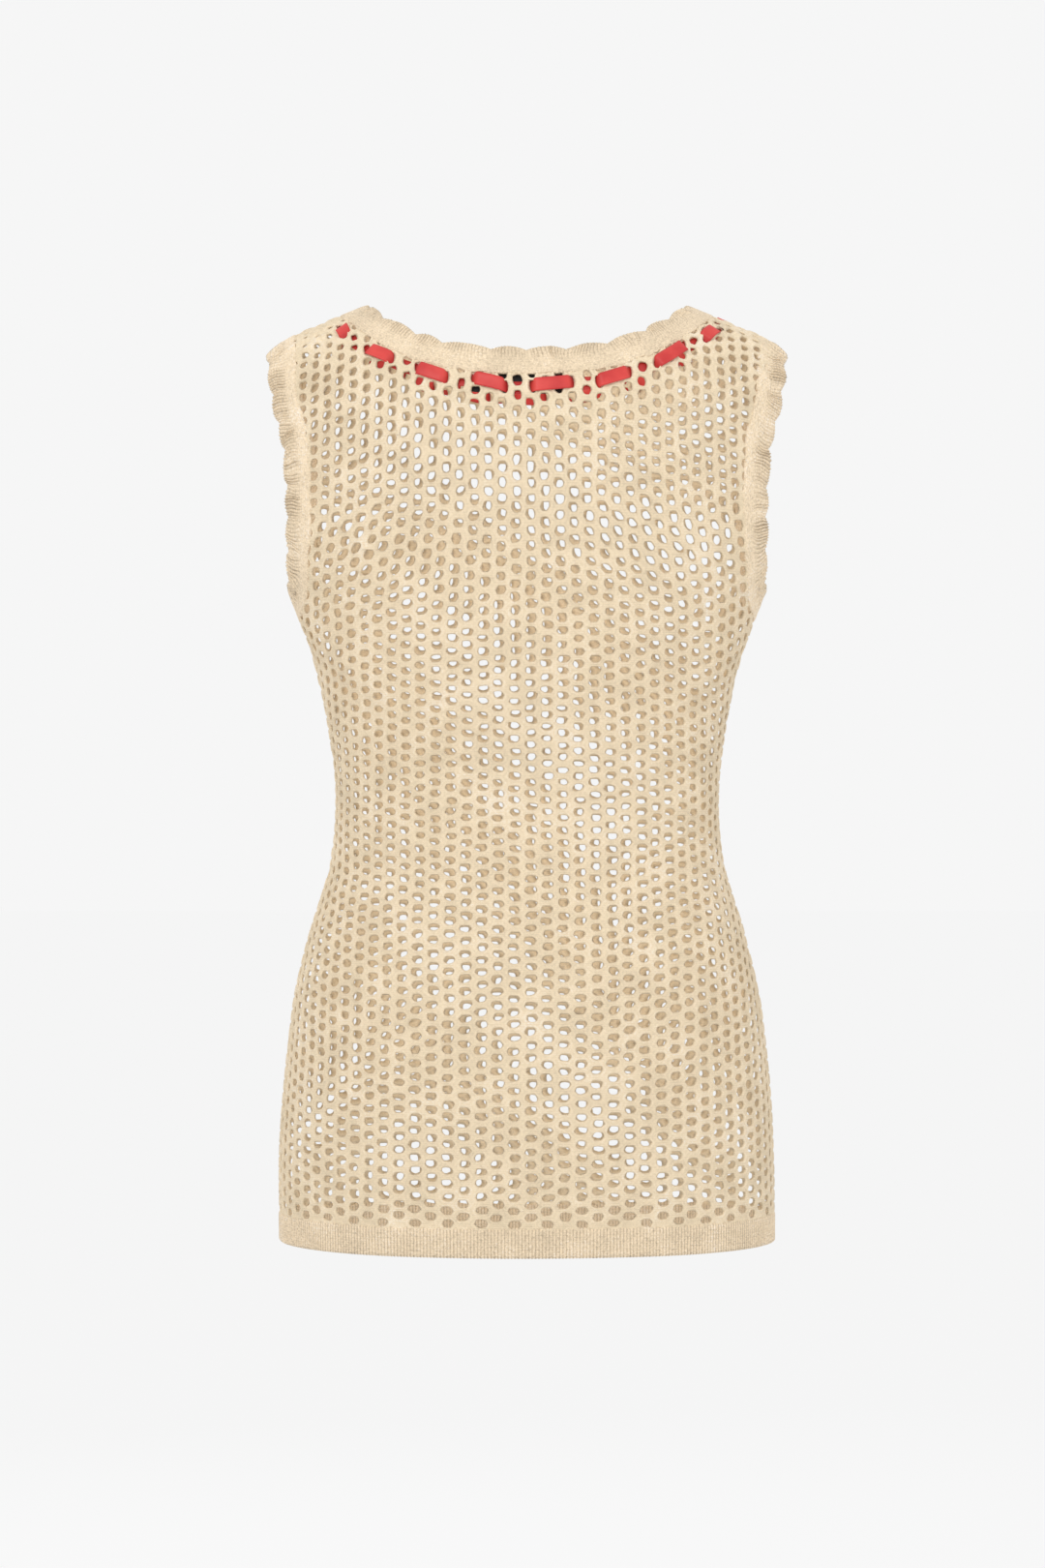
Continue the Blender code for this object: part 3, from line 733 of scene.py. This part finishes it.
def chooseEyelets(panels):
    # the cell nearest to each place where the ribbon goes through becomes its hole; returns these
    # passes as way, distance from the neck, and whether the ribbon shows beyond it
    taken = 9.0  # more than any gap, so that no hole is chosen twice
    fine = np.linspace(0, 2 * math.pi, 2401)
    line = form(*besideNeck(fine, np.full(len(fine), ribbon["line"])))
    run = runOf(line)
    pitch = run[-1] / ribbon["stretches"]
    wanted = []
    for k in range(ribbon["stretches"]):
        reach = ribbon["lengths"].get(k, ribbon["shows"]) / 2
        middle = ribbon["firstMiddle"] + k * pitch + ribbon["moved"].get(k, 0.0)
        wanted += [((middle - reach) % run[-1], True), ((middle + reach) % run[-1], False)]
    passes = []
    for at, shows in sorted(wanted):
        target = np.array([np.interp(at, run, line[:, k]) for k in range(3)])
        best = None
        for name, (lattice, cells) in panels.items():
            gap = np.linalg.norm(cells["points"] - target, axis=1) + taken * cells["eyelet"]
            k = gap.argmin()
            if best is None or gap[k] < best[0]:
                best = (gap[k], name, k)
        _, name, k = best
        cells = panels[name][1]
        cells["eyelet"][k] = cells["open"][k] = True
        astray = cells["fromNeck"][k] - ribbon["line"]
        rate, most = ribbon["drops"]
        cells["drop"][k] = np.clip(astray * rate, -most, most)
        place = np.interp(cells["way"][k], fine, run)
        slide = np.clip(at - place, -ribbon["slide"], ribbon["slide"])
        place += slide
        cells["slide"][k] = slide * sides[name] / ribbon["columnPitch"]
        passes.append((np.interp(place, run, fine), ribbon["line"] + astray * ribbon["follows"], shows))
    return passes


def netMesh(name, lattice, cells):
    # points, stitches and faces of one panel's net
    rng = np.random.default_rng(net["seed"] + (name == "front"))
    count = len(cells["row"])
    keys = np.stack((6 * cells["column"], np.round(4 * cells["row"])), axis=1)
    keys = keys[:, None] + cellBorder[None]
    code = (keys[..., 0] + 1000) * 10000 + keys[..., 1] + 1000
    unique, index = np.unique(code, return_inverse=True)
    index = index.reshape(count, 12)
    borderKeys = np.stack((unique // 10000 - 1000, unique % 10000 - 1000), axis=1)
    column, row = borderKeys[:, 0] / 6, borderKeys[:, 1] / 4
    turn, climb, spare = onLattice(lattice, column, row)

    # borders that no second cell shares are the net's own edge, where both faces meet
    follow = np.roll(index, -1, axis=1)
    low, high = np.minimum(index, follow), np.maximum(index, follow)
    pair, back, times = np.unique(low * len(unique) + high, return_inverse=True, return_counts=True)
    lone = times[back].reshape(count, 12) == 1
    edge = np.zeros(len(unique), bool)
    edge[index[lone]] = True
    edge[follow[lone]] = True

    half = net["thick"] / 2
    side = np.full(len(unique), lattice["side"])
    outer = lift(side, turn, climb, np.where(edge, 0.0, half - net["groove"]))
    inner = lift(side, turn, climb, np.where(edge, 0.0, -half + net["groove"] / 2))

    def stitchesAt(column, row, groove):
        count = net["stitchesPerCell"]
        return np.stack((column * count, row * count, np.full(len(row), groove)), axis=1)

    points = [outer, inner]
    # the strands' borders carry painted shade for their grooves
    weave = [stitchesAt(column, row, net["strandGroove"])] * 2
    frontIndex = np.arange(len(unique))
    backIndex = np.where(edge, frontIndex, frontIndex + len(unique))
    faces = []
    flip = lattice["side"] > 0

    def addFaces(rings):
        rings = np.asarray(rings)
        faces.extend((rings[:, ::-1] if flip else rings).tolist())

    # open cells: a hole's rim, a crest round it on the outer face, and the shared border
    isOpen = cells["open"]
    n = int(isOpen.sum())
    angle = np.arange(12) * math.pi / 6
    wide = np.interp(cells["climb"][isOpen], *net["holeWide"].T) / 2
    tall = np.interp(cells["climb"][isOpen], *net["holeTall"].T) / 2
    size = tightAt(cells)[isOpen]
    wide = wide * size * (1 + net["unevenSize"] * rng.standard_normal(n).clip(-2, 2))
    tall = tall * size * (1 + net["unevenSize"] * rng.standard_normal(n).clip(-2, 2))
    laced = cells["eyelet"][isOpen]
    wide = np.where(laced, ribbon["holeWide"], np.minimum(wide, net["largestHole"]))
    tall = np.where(laced, ribbon["holeTall"], np.minimum(tall, net["largestHole"]))
    power = 2 / np.where(np.sin(angle) > 0, net["squareTop"], net["squareFoot"])
    across = np.sign(np.cos(angle)) * np.abs(np.cos(angle)).round(9) ** power
    up = np.sign(np.sin(angle)) * np.abs(np.sin(angle)).round(9) ** power
    shift = net["unevenPlace"] * rng.standard_normal((n, 2)).clip(-2, 2)
    lean = net["unevenLean"] * rng.standard_normal(n).clip(-2, 2) + leanAt(cells)[isOpen]
    rough = 1 + net["unevenRim"] * rng.standard_normal((n, 12)).clip(-2, 2)
    rough[laced] = 1.0
    shift[laced] = np.stack((cells["slide"], cells["drop"]), axis=1)[isOpen][laced]
    rimColumn = (wide[:, None] * across + lean[:, None] * tall[:, None] * up) * rough + shift[:, :1]
    rimRow = tall[:, None] * up * rough + shift[:, 1:]
    cellColumn, cellRow = cells["column"][isOpen][:, None], cells["row"][isOpen][:, None]
    rim = (cellColumn + rimColumn, cellRow + rimRow)
    border = (column[index[isOpen]], row[index[isOpen]])
    crest = tuple(a + (b - a) * net["crest"] for a, b in zip(rim, border))
    start = 2 * len(unique)
    top = np.repeat(half + net["crestRise"] * cells["clear"][isOpen] * ~laced, 12)
    # the rims carry painted shade for the holes' walls, the crests none
    for (ringColumn, ringRow), out, groove in ((rim, 0.0, net["rimGroove"]), (crest, top, 0.0)):
        t, c, _ = onLattice(lattice, ringColumn.ravel(), ringRow.ravel())
        points.append(lift(np.full(len(t), lattice["side"]), t, c, out))
        weave.append(stitchesAt(ringColumn.ravel(), ringRow.ravel(), groove))
    rimIndex = start + np.arange(12 * n).reshape(n, 12)
    crestIndex = rimIndex + 12 * n
    frontBorder, backBorder = frontIndex[index[isOpen]], backIndex[index[isOpen]]
    for a, b in ((crestIndex, rimIndex), (frontBorder, crestIndex), (rimIndex, backBorder)):
        quads = np.stack((a, np.roll(a, -1, 1), np.roll(b, -1, 1), b), axis=-1).reshape(-1, 4)
        addFaces(quads)

    # closed cells: a plain stretch of knitting between two centres
    shut = ~isOpen
    m = int(shut.sum())
    t, c, _ = onLattice(lattice, cells["column"][shut].astype(float), cells["row"][shut])
    for out in (half - net["groove"], -half + net["groove"] / 2):
        points.append(lift(np.full(m, lattice["side"]), t, c, np.full(m, out)))
        weave.append(stitchesAt(cells["column"][shut], cells["row"][shut], 0.0))
    centre = start + 24 * n + np.arange(m)
    for ring, middle, turned in ((frontIndex[index[shut]], centre, False),
                                 (backIndex[index[shut]], centre + m, True)):
        ahead = np.roll(ring, -1, 1)
        fan = np.stack((ring, ahead, np.broadcast_to(middle[:, None], ring.shape)), -1).reshape(-1, 3)
        addFaces(fan[:, ::-1] if turned else fan)
    return np.concatenate(points), np.concatenate(weave), faces


def cutAtSeams(data, side):
    # cuts a panel along the side and shoulder seams, where the two panels meet, and closes the cut
    mesh = bmesh.new()
    mesh.from_mesh(data)
    everything = mesh.verts[:] + mesh.edges[:] + mesh.faces[:]
    bmesh.ops.bisect_plane(mesh, geom=everything, dist=1e-6, plane_co=(0, side * net["seamGap"] / 2, 0),
                           plane_no=(0, -side, 0), clear_outer=True)
    cut = [edge for edge in mesh.edges if len(edge.link_faces) == 1]
    bmesh.ops.holes_fill(mesh, edges=cut, sides=0)
    bmesh.ops.delete(mesh, geom=[v for v in mesh.verts if not v.link_faces], context="VERTS")
    mesh.to_mesh(data)
    mesh.free()


panels = {name: cellsOf(name) for name in sides}
passes = chooseEyelets(panels)
for name, (lattice, cells) in panels.items():
    points, weave, faces = netMesh(name, lattice, cells)
    piece = meshPiece(name + "Net", points, faces, netYarn, [name + "_panel"], weave)
    cutAtSeams(piece.data, lattice["side"])
    triangles = sum(len(f.vertices) - 2 for f in piece.data.polygons)
    print(name, "net:", int(cells["open"].sum()), "holes,", triangles, "triangles")


# Bands: closed strips, ribbed across, with a scalloped edge
def closedTube(name, grid, material, nodes, stitches=None):
    # rows run round the strip's section and columns along it, both closed
    rows, columns = grid.shape[:2]
    i, j = (a.ravel() for a in np.meshgrid(np.arange(rows), np.arange(columns), indexing="ij"))
    up, on = (i + 1) % rows, (j + 1) % columns
    quads = np.stack((i * columns + j, i * columns + on, up * columns + on, up * columns + j), axis=1)
    points = grid.reshape(-1, 3)
    a, b, c, d = (points[quads[:, k]] for k in range(4))
    volume = (np.cross(a, b) * c + np.cross(a, c) * d).sum()
    if volume < 0:
        quads = quads[:, ::-1]
    if stitches is not None:
        stitches = stitches.reshape(-1, 3)
    return meshPiece(name, points, quads.tolist(), material, nodes, stitches)


scallopedBand = {
    # share of the width from the edge, and the outward offset of each row of the outer face
    "rows": np.array(((1.035, 0.00080), (1.00, 0.00118), (0.93, 0.00132), (0.84, 0.00138),
                      (0.74, 0.00140), (0.64, 0.00142), (0.54, 0.00145), (0.44, 0.00148),
                      (0.34, 0.00150), (0.24, 0.00150), (0.15, 0.00148), (0.07, 0.00140),
                      (0.02, 0.00095), (0.00, 0.0))),
    "ribPitch": 0.0020,
    "ribWander": 0.35,  # how far the ribs wave to either side, in ribs
    "pointsPerRib": 4,
    "courseTall": 0.0015,
    "unevenEdge": 0.0005,  # how much its seam with the net wanders
    "seamFrom": 0.7,  # share of the width from which it does
    "drawnOver": 0.55,  # share of the width over which the scallops fade out
    "unevenPlace": 0.06,  # of the scallops, in scallops
    "unevenHeight": 0.16,
    "unevenRibs": 0.4,
    "ribShift": 0.3,  # in ribs, at random
    "ribSlant": 1.8,
    "ribsOnScallops": (0.65, 0.5),  # a rib's depth in a notch, and what a scallop's top adds to it
    "ribWaves": 9,  # how fast the ribs wave, in radians over the band's width
    "edgeFollows": 0.6,  # how far the edge's outline follows the ribs
}
neckBand = {"wide": 0.0160, "scallops": 22, "scallopDeep": 0.0030, "sharpness": 0.85,
            "ribDeep": 0.00036, "ribRemains": 0.10, "ribFade": (0.12, 0.55)}
armholeBand = {"wide": 0.0180, "scallops": 18, "scallopDeep": 0.0036, "sharpness": 0.75,
               "ribDeep": 0.00055, "ribRemains": 0.08, "ribFade": (0.38, 0.75)}


def wander(rng, count, knots):
    # a smooth closed random line with so many knots
    values = rng.standard_normal(knots).clip(-2, 2)
    at = np.arange(count) / count * knots
    k = at.astype(int) % knots
    t = smoothStep(at - np.floor(at))
    return values[k] * (1 - t) + values[(k + 1) % knots] * t


def bothFaces(rows):
    # points and stitches round a strip's section, out along the outer face and back along the
    # inner one; each row has its places, how far out it lies, its stitches, and whether the two
    # faces meet there
    outer = [(lift(*place, out), stitches) for place, out, stitches, _ in rows]
    inner = [(lift(*place, -out), stitches) for place, out, stitches, meet in rows[::-1] if not meet]
    points, stitches = zip(*outer, *inner)
    return np.stack(points), np.stack(stitches)


def grooveOf(ribWave):
    # painted shade for the groove between two ribs: 1 in the groove, and soon 0 beside it
    return (0.5 - 0.5 * ribWave) ** 4


def bandGrid(beside, edge, style, first, seed):
    # points and stitches of a scalloped band round an opening
    rng = np.random.default_rng(seed)
    fine = np.linspace(first, first + 2 * math.pi, 2401)
    run = runOf(form(*edge(fine)))
    ribs = int(round(run[-1] / scallopedBand["ribPitch"]))
    count = ribs * scallopedBand["pointsPerRib"]
    place = np.arange(count) / count
    phase = place * style["scallops"]
    phase = phase + scallopedBand["unevenPlace"] * wander(rng, count, style["scallops"])
    heights = 1 + scallopedBand["unevenHeight"] * wander(rng, count, style["scallops"])
    lobes = np.abs(np.sin(math.pi * phase)) ** style["sharpness"] * heights
    ribWave = np.cos(2 * math.pi * ribs * place)
    least, more = scallopedBand["ribsOnScallops"]
    ribSize = (least + more * lobes) * (1 + scallopedBand["unevenRibs"] * wander(rng, count, ribs))
    shift = scallopedBand["ribShift"] * wander(rng, count, ribs // 3)
    slant = scallopedBand["ribSlant"] * wander(rng, count, ribs // 6)
    turned = math.pi * wander(rng, count, ribs // 9)
    seam = scallopedBand["unevenEdge"] * wander(rng, count, ribs // 2)
    fadeFrom, fadeTo = style["ribFade"]
    rows = []
    for share, offset in scallopedBand["rows"]:
        waving = scallopedBand["ribWander"] * np.sin(scallopedBand["ribWaves"] * share + turned)
        moved = (place + (shift + slant * share + waving) / ribs) * run[-1]
        turns = np.floor(moved / run[-1])
        way = np.interp(moved - turns * run[-1], run, fine) + 2 * math.pi * turns
        draw = smoothStep(1 - share / scallopedBand["drawnOver"])
        distance = share * style["wide"] - draw * style["scallopDeep"] * lobes
        distance = distance + seam * smoothStep((share - scallopedBand["seamFrom"])
                                                / (1 - scallopedBand["seamFrom"]))
        fade = smoothStep((share - fadeFrom) / (fadeTo - fadeFrom))
        ribbed = (1 - (1 - style["ribRemains"]) * fade) * (share < 1.01)
        wave = style["ribDeep"] * ribbed * ribSize * ribWave
        # painted shade in the grooves between the ribs, as deep as the ribs
        groove = ribbed * ribSize * grooveOf(ribWave)
        stitches = np.stack((ribs * place, np.full(count, share * style["wide"]
                                                   / scallopedBand["courseTall"]), groove), axis=1)
        edgeRow = offset == 0
        spot = beside(way, distance + scallopedBand["edgeFollows"] * wave * edgeRow)
        rows.append((spot, (offset + wave) * (not edgeRow), stitches, edgeRow))
    return bothFaces(rows)


neckGrid, neckStitches = bandGrid(besideNeck, neckEdge, neckBand, 0.0, 21)
neckPiece = closedTube("neckBandKnit", neckGrid, neckYarnShaded, ["neck_band"], neckStitches)
for name, hand, seed in (("left", 1, 22), ("right", -1, 23)):
    grid, stitches = bandGrid(besideArmhole, armholeEdge, armholeBand, -quarter, seed)
    closedTube(name + "ArmholeKnit", grid * np.array((hand, 1, 1)), bandYarn,
                                    ["armhole_band_" + name], stitches)


# Hem: a ribbed tube with a small zigzag along its lower edge
hem = {
    "tall": 0.0180,
    "ribPitch": 0.0021,
    "ribDeep": 0.00038,
    "zigzag": 0.0005,
    "courseTall": 0.0015,
    "zigzagFrom": 0.9,  # share of the height, from the top, from which the zigzag shows
    "upperWave": 0.0005,  # how far its upper edge rises and falls between the lowest holes
    "calmBySeams": 0.35,  # turn over which that fades out towards the side seams
    # share of the height from the top, and the outward offset of each row of the outer face
    "rows": np.array(((-0.05, 0.00060), (0.00, 0.00115), (0.08, 0.00135), (0.25, 0.00140),
                      (0.45, 0.00140), (0.65, 0.00140), (0.85, 0.00145), (0.96, 0.00135),
                      (1.00, 0.0))),
    "pointsPerRib": 4,
}


def hemGrid():
    # points and stitches of the hem, from the middle of the back all round
    fine = np.linspace(0, 2 * math.pi, 2401)

    def around(angle):
        return np.where(np.cos(angle) >= 0, 1.0, -1.0), np.arcsin(np.sin(angle).clip(-1, 1))

    side, turn = around(fine)
    run = runOf(form(side, turn, np.full(len(fine), hem["tall"] / 2)))
    ribs = int(round(run[-1] / hem["ribPitch"]))
    count = ribs * hem["pointsPerRib"]
    place = np.arange(count) / count
    side, turn = around(np.interp(place * run[-1], run, fine))
    ribWave = np.cos(2 * math.pi * ribs * place)
    arc = place * run[-1]
    arc = np.where(side > 0, np.where(arc > run[-1] / 2, arc - run[-1], arc), run[-1] / 2 - arc)
    column = (arc - net["columnShift"]["back"]) / net["columnPitch"]["back"][0, 1]
    calm = smoothStep((quarter - np.abs(turn)) / hem["calmBySeams"])
    upperEdge = hem["upperWave"] * np.cos(math.pi * column) * calm
    # painted shade in the grooves between the ribs
    groove = grooveOf(ribWave)
    rows = []
    for share, offset in hem["rows"]:
        climb = hem["tall"] * (1 - share) - upperEdge * (1 - share) ** 2
        climb = climb + hem["zigzag"] * ribWave * smoothStep((share - hem["zigzagFrom"])
                                                             / (1 - hem["zigzagFrom"]))
        climb = np.maximum(climb, 0.0002)
        wave = hem["ribDeep"] * ribWave * (offset > 0.001)
        stitches = np.stack((ribs * place, climb / hem["courseTall"], groove), axis=1)
        rows.append(((side, turn, climb), offset + wave, stitches, offset == 0))
    return bothFaces(rows)


hemPoints, hemStitches = hemGrid()
hemPiece = closedTube("hemKnit", hemPoints, bandYarn, ["hem_band"], hemStitches)
print("hem:", len(hemPiece.data.polygons) * 2, "triangles")


# The ribbon's own material and piece
def satinMaterial():
    made = bpy.data.materials.new("coralSatin")
    tree = nodeTree(made)
    at = addNode(tree, "ShaderNodeTexCoord")
    cloudy = noiseNode(tree, at, 70.0, Detail=2.0)
    ramp = rampNode(tree, cloudy, (0.3, (0.50, 0.025, 0.024)), (0.7, (0.65, 0.055, 0.045)))
    threads = noiseNode(tree, at, 1800.0, Detail=1.0)
    bump = addNode(tree, "ShaderNodeBump", Strength=0.15, Distance=0.0002, Height=(threads, 0))
    principled(tree, ramp.outputs[0], bump, Roughness=0.42, Sheen_Weight=0.15,
               Sheen_Roughness=0.3, Anisotropic=0.5, Specular_IOR_Level=0.4)
    return made


def ribbonGrid(passes):
    # points of the ribbon's two faces along its whole loop
    rng = np.random.default_rng(ribbon["seed"])
    stations = np.array((0.0, 0.05, 0.10, 0.16, 0.25, 0.37, 0.50, 0.63, 0.75, 0.84, 0.90, 0.95))
    across = np.linspace(-1, 1, 7)
    lines = []
    for k, (way, distance, shows) in enumerate(passes):
        wayOn, distanceOn, _ = passes[(k + 1) % len(passes)]
        wayOn += 2 * math.pi * (wayOn < way)
        ends = form(*besideNeck(np.array((way, wayOn)), np.array((distance, distanceOn))))
        length = np.linalg.norm(ends[1] - ends[0])
        sag, tilt = rng.normal(0, ribbon["sag"]), rng.normal(0, ribbon["tilt"])
        foldAt = rng.uniform(0, 2 * math.pi)
        for t in stations:
            rise = smoothStep(min(t, 1 - t) * length / ribbon["dive"])
            middle = distance + (distanceOn - distance) * t + sag * math.sin(math.pi * t)
            width = (ribbon["pinched"] + (ribbon["wide"] - ribbon["pinched"]) * rise) / 2
            level = rise * (ribbon["off"] + ribbon["bulge"] * math.sin(math.pi * t) * shows)
            folds = np.cos(2.2 * across + foldAt) * (1.2 - rise)
            folds = folds + 0.5 * np.sin(3.0 * across + 2 * t + foldAt)
            out = (1 if shows else -1) * level + ribbon["fold"] * folds + tilt * across * rise
            ways = np.full(len(across), way + (wayOn - way) * t)
            lines.append((ways, middle + across * width, out))
    ways, distances, outs = (np.stack(part, axis=1) for part in zip(*lines))
    place = besideNeck(ways, distances)
    half = ribbon["thick"] / 2
    return np.concatenate((lift(*place, outs + half), lift(*place, outs - half)[::-1]))


ribbonPiece = closedTube("satinRibbon", ribbonGrid(passes), satinMaterial(), ["ribbon"])
print("ribbon:", len(ribbonPiece.data.polygons) * 2, "triangles")


# Label: a bare black tape inside the back of the neck
label = {
    "wide": 0.062,
    "edges": (0.0135, 0.0285),  # distances from the neck opening's edge
    "off": -0.0034,
    "thick": 0.0006,
    "ripple": 0.00025,
    "rippleWaves": (900, 40, 34),  # down it, askew and across it
}


def labelMaterial():
    made = bpy.data.materials.new("blackTape")
    tree = nodeTree(made)
    at = addNode(tree, "ShaderNodeTexCoord")
    dust = noiseNode(tree, at, 300.0)
    ramp = rampNode(tree, dust, (0.0, (0.010, 0.010, 0.011)), (1.0, (0.030, 0.028, 0.028)))
    threads = addNode(tree, "ShaderNodeTexWave", Vector=(at, "Object"), Scale=700.0)
    bump = addNode(tree, "ShaderNodeBump", Strength=0.2, Distance=0.0002, Height=(threads, 0))
    principled(tree, ramp.outputs[0], bump, Roughness=0.7, Sheen_Weight=0.1,
               Specular_IOR_Level=0.3)
    return made


def labelPiece():
    columns, rows = 61, 13
    reach = label["wide"] / 2
    way = np.arcsin(np.linspace(-reach, reach, columns) / figure["neckHalf"])
    near, far = label["edges"]
    distance = np.linspace(far, near, rows)
    ways, distances = np.broadcast_arrays(way[None, :], distance[:, None])
    down, askew, across = label["rippleWaves"]
    ripple = label["ripple"] * np.sin(down * distances + askew * ways) * np.sin(across * ways)
    place = besideNeck(ways, distances)
    half = label["thick"] / 2
    skins = [lift(*place, label["off"] + ripple + more) for more in (half, -half)]
    points = np.concatenate([skin.reshape(-1, 3) for skin in skins])
    faces = []
    total = rows * columns
    for i in range(rows - 1):
        for j in range(columns - 1):
            a = i * columns + j
            quad = (a, a + 1, a + columns + 1, a + columns)
            faces += [quad[::-1], tuple(v + total for v in quad)]
    border = list(range(columns)) + [columns * (i + 1) - 1 for i in range(1, rows)]
    border += [total - 1 - i for i in range(1, columns)] + [columns * i for i in range(rows - 2, 0, -1)]
    for a, b in zip(border, border[1:] + border[:1]):
        faces.append((a, b, b + total, a + total))
    return meshPiece("bareLabel", points, faces, labelMaterial(), ["neck_label"])


labelTape = labelPiece()
print("label built")
